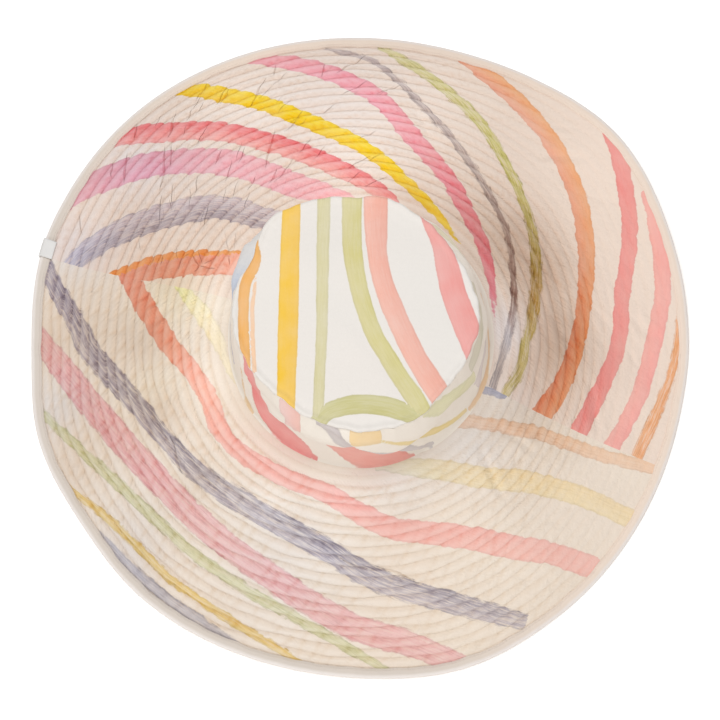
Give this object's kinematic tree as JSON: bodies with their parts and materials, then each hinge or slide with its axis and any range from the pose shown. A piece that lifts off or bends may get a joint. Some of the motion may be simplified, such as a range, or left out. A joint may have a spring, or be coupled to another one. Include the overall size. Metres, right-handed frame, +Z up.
{
  "type": "capeline sun hat",
  "caption": "Wide-brimmed soft sun hat with a flat-topped cloth crown and a broad, floppy brim quilted in rings, lying crown up on its brim.",
  "frame": {"origin": "on the surface that the brim rests on, under the middle of the hat's bounding box", "axes": "+Z up out of the crown, -Y towards the front of the hat, +X to its right as seen from the front"},
  "size_m": [0.4693, 0.4708, 0.132],
  "materials": {
    "plain_cotton": "matt plain-woven cotton printed with wide stripes",
    "quilted_cotton": "matt plain-woven cotton, wadded and stitched in rings, printed with wide stripes",
    "bias_cotton": "matt cotton cut on the bias",
    "woven_tape": "smooth white woven tape"
  },
  "bodies": {
    "root": {"crown_tip": "plain_cotton", "crown_side_band": "plain_cotton", "brim_front_half": "quilted_cotton", "brim_back_half": "quilted_cotton", "brim_binding": "bias_cotton", "label_tab": "woven_tape"}
  },
  "joints": []
}
